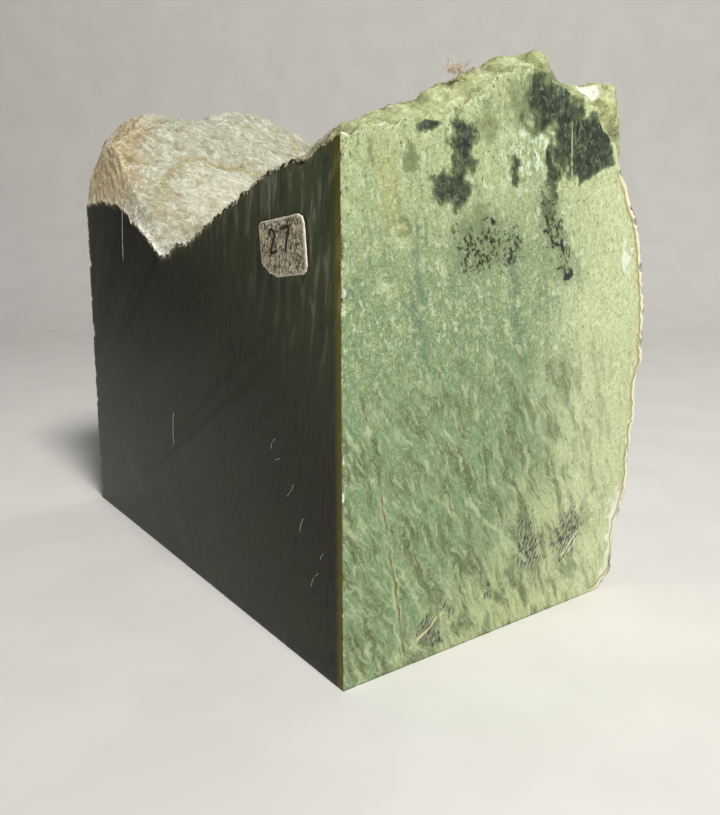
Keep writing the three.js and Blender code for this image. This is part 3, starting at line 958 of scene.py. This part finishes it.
def pen_ink():
    """Black pen ink, faded and broken where it has rubbed off the fibres."""
    material, tree, surface, place = new_finish("faded_pen_ink")
    rubbed = mottle(tree, place, (0.3, 0.3, 0.3), rough=0.7)
    tree.links.new(lay(tree, paint("#1d1c1a"), "#6b614f", rubbed, 0.52, 0.7), surface["Base Color"])
    surface["Roughness"].default_value = 0.7
    return material


def loose_fibre(name, hex_code):
    """Fine lint or hair, paler along some of its length."""
    material, tree, surface, place = new_finish(name)
    shade = mottle(tree, place, (1.2, 1.2, 1.2), detail=2.0)
    colour = lay(tree, paint(hex_code), "#f2ece4", shade, 0.4, 0.65, 0.5)
    tree.links.new(colour, surface["Base Color"])
    surface["Roughness"].default_value = 0.6
    surface["Sheen Weight"].default_value = 0.3
    return material


# ---------------------------------------------------------------- the label and its ink

LABEL_LOW, LABEL_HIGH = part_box("weight_label")
LABEL_WIDTH, LABEL_HEIGHT = 14.0, 9.3
LABEL_TURN = math.radians(6)
LABEL_CENTRE = (
    ((LABEL_LOW.y + LABEL_HIGH.y) / 2 - LOW.y) / MM,
    ((LABEL_LOW.z + LABEL_HIGH.z) / 2 - LOW.z) / MM,
)
LABEL_OUT = (LOW.x - LABEL_LOW.x) / MM   # the paper's face stands this far off the stone
PAPER_DEPTH = 0.33                       # the paper, down to its glue
EDGE_ROUND = 0.06                        # its edge is rubbed round this far below the face
EDGE_STEP = 0.35                         # the edge is divided this finely
PAPER_LIFT = 0.07                        # the face rises and falls this much
PEN_WIDTH = 0.45
INK_PROUD, INK_SUNK = 0.10, 0.12         # the ink's solid, either side of the paper's face


def on_label(u, v, out):
    """A point of the label, along the side and up it from the label's middle, in metres."""
    c, s = math.cos(LABEL_TURN), math.sin(LABEL_TURN)
    y = LABEL_CENTRE[0] + u * c + v * s
    z = LABEL_CENTRE[1] - u * s + v * c
    return (LOW.x - out * MM, LOW.y + y * MM, LOW.z + z * MM)


def label_outline():
    """The label's edge from its torn corner round: cut straight, corners rubbed round."""
    w, h = LABEL_WIDTH / 2, LABEL_HEIGHT / 2
    corner = [
        (-w + 1.3, -h), (-w + 0.4, -h + 0.4), (-w, -h + 1.3),
        (-w, h - 1.6), (-w + 0.45, h - 0.5), (-w + 1.6, h),
        (w - 0.7, h), (w, h - 0.6),
        (w, -h + 2.6), (w - 0.7, -h + 2.0), (w - 1.5, -h + 1.6), (w - 2.4, -h + 0.7),
        (w - 3.6, -h + 0.5), (w - 4.6, -h),
    ]
    edge = []
    for n, a in enumerate(corner):
        b = corner[(n + 1) % len(corner)]
        count = max(1, round(math.dist(a, b) / EDGE_STEP))
        for k in range(count):
            edge.append((a[0] + (b[0] - a[0]) * k / count, a[1] + (b[1] - a[1]) * k / count))
    frayed = []
    for u, v in edge:
        # the torn corner is the most ragged
        torn = 1.0 if u > w - 4.9 and v < -h + 2.9 else 0.35
        wobble = noise.noise(Vector((u, v, 3)) * 1.7) * 0.22 * torn
        wobble += noise.noise(Vector((u, v, 9)) * 4) * 0.1 * torn
        frayed.append((u * (1 + wobble / 6), v * (1 + wobble / 5)))
    return frayed


def make_label():
    """The paper label: a closed sheet with a rubbed edge and a slightly uneven face."""
    edge = label_outline()
    n = len(edge)
    # how far in from the edge, how far out from the stone, how much painted highlight
    rows = (
        (0.0, LABEL_OUT - PAPER_DEPTH, 1.0),
        (0.0, LABEL_OUT - EDGE_ROUND, 1.0),
        (0.25, LABEL_OUT, 0.6),
        (0.8, LABEL_OUT, 0.1),
        (1.6, LABEL_OUT, 0.0),
    )
    points, rim = [], []
    for inset, out, share in rows:
        for u, v in edge:
            reach = math.hypot(u, v)
            shrink = (reach - inset) / reach
            lift = 0
            if out == LABEL_OUT:
                lift = PAPER_LIFT * noise.noise(Vector((u * 0.5, v * 0.5, 5)))
            points.append(on_label(u * shrink, v * shrink, out + lift))
            rim.append(share)
    faces = []
    for r in range(len(rows) - 1):
        for k in range(n):
            m = (k + 1) % n
            faces.append([r * n + k, r * n + m, (r + 1) * n + m, (r + 1) * n + k])
    faces.append([(len(rows) - 1) * n + k for k in range(n)])
    faces.append(list(reversed(range(n))))
    label = new_piece("paper_label", points, faces, {"rim": rim})
    label.data.materials.append(aged_paper())
    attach(label, "root")
    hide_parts("weight_label")


def pen_stroke(course, width):
    """The points and faces of a pen stroke: a thin closed strip that lies in the paper's face."""
    points, faces = [], []
    for k, (u, v) in enumerate(course):
        a, b = course[max(k - 1, 0)], course[min(k + 1, len(course) - 1)]
        du, dv = b[0] - a[0], b[1] - a[1]
        size = math.hypot(du, dv)
        w = width / 2 * (1 + 0.3 * noise.noise(Vector((u * 2, v * 2, 0))))
        across = (-dv / size * w, du / size * w)
        for side, out in ((-1, -INK_SUNK), (1, -INK_SUNK), (1, INK_PROUD), (-1, INK_PROUD)):
            points.append(on_label(u + across[0] * side, v + across[1] * side, LABEL_OUT + out))
    for k in range(len(course) - 1):
        for n in range(4):
            m = (n + 1) % 4
            faces.append([4 * k + n, 4 * k + m, 4 * k + 4 + m, 4 * k + 4 + n])
    last = 4 * (len(course) - 1)
    faces += [[3, 2, 1, 0], [last, last + 1, last + 2, last + 3]]
    return points, faces


def eased(corners, parts=5):
    """A smooth course through a pen's turning places."""
    places = np.arange(len(corners))
    values = np.array(corners, float)
    at = np.linspace(0, len(corners) - 1, (len(corners) - 1) * parts + 1)
    return [tuple(smooth_curve(places, values, np.repeat(t, 2))) for t in at]


def make_ink():
    """A plain number in pen on the label's upper half. Reading runs towards the sawn end, which is
    towards -u."""
    two = [
        (3.7, 2.2), (3.2, 3.0), (2.4, 3.0), (1.9, 2.2), (2.4, 1.1), (3.6, -0.5), (2.6, -0.6),
        (1.5, -0.4),
    ]
    seven = [(-0.1, 2.9), (-1.3, 3.0), (-2.6, 2.9), (-2.1, 1.6), (-1.5, 0.3), (-1.3, -0.8)]
    points, faces = [], []
    for corners in (two, seven):
        more, quads = pen_stroke(eased(corners), PEN_WIDTH)
        faces += [[i + len(points) for i in q] for q in quads]
        points += more
    ink = new_piece("label_ink", points, faces)
    ink.data.materials.append(pen_ink())
    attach(ink, "root")


# ---------------------------------------------------------------- lint and hairs

def thread(path, radius, sides=5):
    """Points and faces of a fine round fibre with closed ends."""
    points, faces = [], []
    for k, p in enumerate(path):
        a, b = path[max(k - 1, 0)], path[min(k + 1, len(path) - 1)]
        way = (b - a).normalized()
        across = way.orthogonal().normalized()
        other = way.cross(across)
        taper = radius * (0.5 if k in (0, len(path) - 1) else 1.0)
        for n in range(sides):
            angle = 2 * math.pi * n / sides
            points.append(p + (across * math.cos(angle) + other * math.sin(angle)) * taper)
    for k in range(len(path) - 1):
        for n in range(sides):
            m = (n + 1) % sides
            faces.append([k * sides + n, k * sides + m, (k + 1) * sides + m, (k + 1) * sides + n])
    faces.append(list(range(sides))[::-1])
    faces.append([(len(path) - 1) * sides + n for n in range(sides)])
    return points, faces


def make_fibres(name, paths, radius, finish):
    """One piece from many fibres, each a path in millimetres from the front corner."""
    points, faces = [], []
    for path in paths:
        more, quads = thread(path, radius)
        faces += [[i + len(points) for i in q] for q in quads]
        points += more
    corner = Vector((LOW.x, LOW.y, LOW.z))
    mesh = bpy.data.meshes.new(name)
    mesh.from_pydata([tuple(corner + p * MM) for p in points], [], faces)
    for face in mesh.polygons:
        face.use_smooth = True
    piece = bpy.data.objects.new(name, mesh)
    bpy.context.collection.objects.link(piece)
    piece.data.materials.append(finish)
    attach(piece, "root")


def make_lint():
    """A wisp of lint caught on the ridge: a felted knot with stray fibres."""
    chance = random.Random(7)
    knot = Vector((24.6, 3.6, 99.2))
    paths = []
    for n in range(90):
        stray = n % 5 == 0
        reach = chance.uniform(1.6, 2.9) if stray else chance.uniform(0.6, 1.5)
        off = Vector((chance.gauss(0, 0.9), chance.gauss(0, 0.4), chance.gauss(-0.1, 0.35)))
        start = knot + off
        way = Vector((chance.gauss(0, 1), chance.gauss(0, 0.5), abs(chance.gauss(0.2, 0.6))))
        way.normalize()
        curl = Vector((chance.gauss(0, 1), chance.gauss(0, 1), chance.gauss(0, 0.6))) * 0.55
        path = []
        for k in range(7):
            t = k / 6
            path.append(start + way * reach * t + curl * math.sin(t * 3.0) * reach * 0.35)
        paths.append(path)
    make_fibres("lint_tuft", paths, 0.045, loose_fibre("brown_lint", "#b59c76"))


def make_hairs():
    """Pale hairs and dust fibres that lie on the polished side: each given by its two ends, behind
    the sawn end and above the foot, and its bow."""
    lying = (
        ((88.5, 80.2), (90.4, 66.8), 0.3),
        ((20.5, 38.8), (22.0, 36.5), 0.4),
        ((14.6, 32.0), (17.0, 29.2), -0.4),
        ((11.5, 26.8), (12.6, 24.0), 0.3),
        ((7.0, 18.5), (9.3, 15.2), 0.5),
        ((5.3, 22.5), (6.4, 21.2), 0.2),
        ((65.0, 35.0), (65.8, 27.5), 0.35),
        ((19.0, 35.6), (20.6, 34.9), 0.1),
    )
    paths = []
    for (y0, z0), (y1, z1), bow in lying:
        path = []
        for k in range(9):
            t = k / 8
            y = y0 + (y1 - y0) * t + bow * math.sin(math.pi * t)
            path.append(Vector((-0.07, y, z0 + (z1 - z0) * t)))
        paths.append(path)
    make_fibres("pale_hairs", paths, 0.055, loose_fibre("pale_hair", "#a9a898"))


stone = make_block()
for finish in (
    weathered_rind(), polished_jade(), sawn_jade("sawn_jade", True),
    sawn_jade("back_sawn_jade", False),
):
    stone.data.materials.append(finish)
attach(stone, "root")
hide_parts("jade_block")
make_label()
make_ink()
make_lint()
make_hairs()


# ---------------------------------------------------------------- studio

def pale_paper():
    """Pale studio paper, matt, hardly mottled."""
    material = bpy.data.materials.new("pale_paper")
    material.use_nodes = True
    tree = material.node_tree
    surface = tree.nodes["Principled BSDF"].inputs
    where = add(tree, "TexCoord").node.outputs["Object"]
    mottled = add(tree, "TexNoise", {"Vector": where, "Scale": 40.0, "Detail": 3.0})
    colour = lay(tree, paint("#d6d3cc"), "#cfccc5", mottled, 0.4, 0.6, 0.5)
    tree.links.new(colour, surface["Base Color"])
    surface["Roughness"].default_value = 0.9
    return material


def make_floor():
    """A sheet of pale paper on the table that sweeps up behind the block."""
    away = Vector((math.sin(HEADING), math.cos(HEADING), 0))
    side = Vector((away.y, -away.x, 0))
    # in metres: where it starts, where it starts to rise, the bend, its top, and half its width
    near, flat, bend, wall, half = -1.2, 0.36, 0.18, 0.44, 1.2
    drop = 0.00002     # the paper lies just under the foot
    profile = [(near, 0.0), (flat, 0.0)]
    profile += [
        (flat + bend * math.sin(a), bend * (1 - math.cos(a)))
        for a in np.linspace(0, math.pi / 2, 13)[1:]
    ]
    profile.append((flat + bend, wall))
    mesh = bpy.data.meshes.new("studio_floor")
    rows = [
        away * d + side * s + Vector((0, 0, h - drop)) for d, h in profile for s in (-half, half)
    ]
    strips = [(2 * i, 2 * i + 1, 2 * i + 3, 2 * i + 2) for i in range(len(profile) - 1)]
    mesh.from_pydata(rows, [], strips)
    for face in mesh.polygons:
        face.use_smooth = True
    floor = bpy.data.objects.new("studio_floor", mesh)
    bpy.context.collection.objects.link(floor)
    floor.data.materials.append(pale_paper())


def soft_light(name, towards, distance, size, watts, aim):
    """A round soft light that shines at a point from some way off. Lengths are metres."""
    light = bpy.data.lights.new(name, "AREA")
    light.shape = "DISK"
    light.size = size
    light.energy = watts
    lamp = bpy.data.objects.new(name, light)
    lamp.location = aim + Vector(towards).normalized() * distance
    lamp.rotation_euler = (aim - lamp.location).to_track_quat("-Z", "Y").to_euler()
    bpy.context.collection.objects.link(lamp)


HEADING = math.radians(35.9)      # the camera looks this far round from +Y towards +X
TILT = math.radians(12.87)        # and this far down
EYE = Vector((-67.2, -97.6, 75.3))  # from the front corner, in millimetres
LENS = 35.34
MIDDLE = Vector((0, 0, 0.05))     # the middle of the block, in metres

make_floor()
soft_light(
    "key", towards=(-0.121, -0.631, 0.766), distance=0.9, size=0.22, watts=9.8, aim=MIDDLE,
)
soft_light("fill", towards=(0.85, 0.2, 0.5), distance=0.9, size=0.5, watts=2.2, aim=MIDDLE)
world = bpy.data.worlds.new("studio_air")
world.use_nodes = True
air = world.node_tree.nodes["Background"].inputs
air["Color"].default_value = paint("#e8ecf2")
air["Strength"].default_value = 0.08
bpy.context.scene.world = world
bpy.context.scene.view_settings.view_transform = "Standard"

camera = bpy.data.objects.new("camera", bpy.data.cameras.new("camera"))
camera.data.lens = LENS
camera.data.clip_start = 0.01
camera.location = Vector((LOW.x, LOW.y, LOW.z)) + EYE * MM
camera.rotation_euler = (math.pi / 2 - TILT, 0, -HEADING)
bpy.context.collection.objects.link(camera)
bpy.context.scene.camera = camera
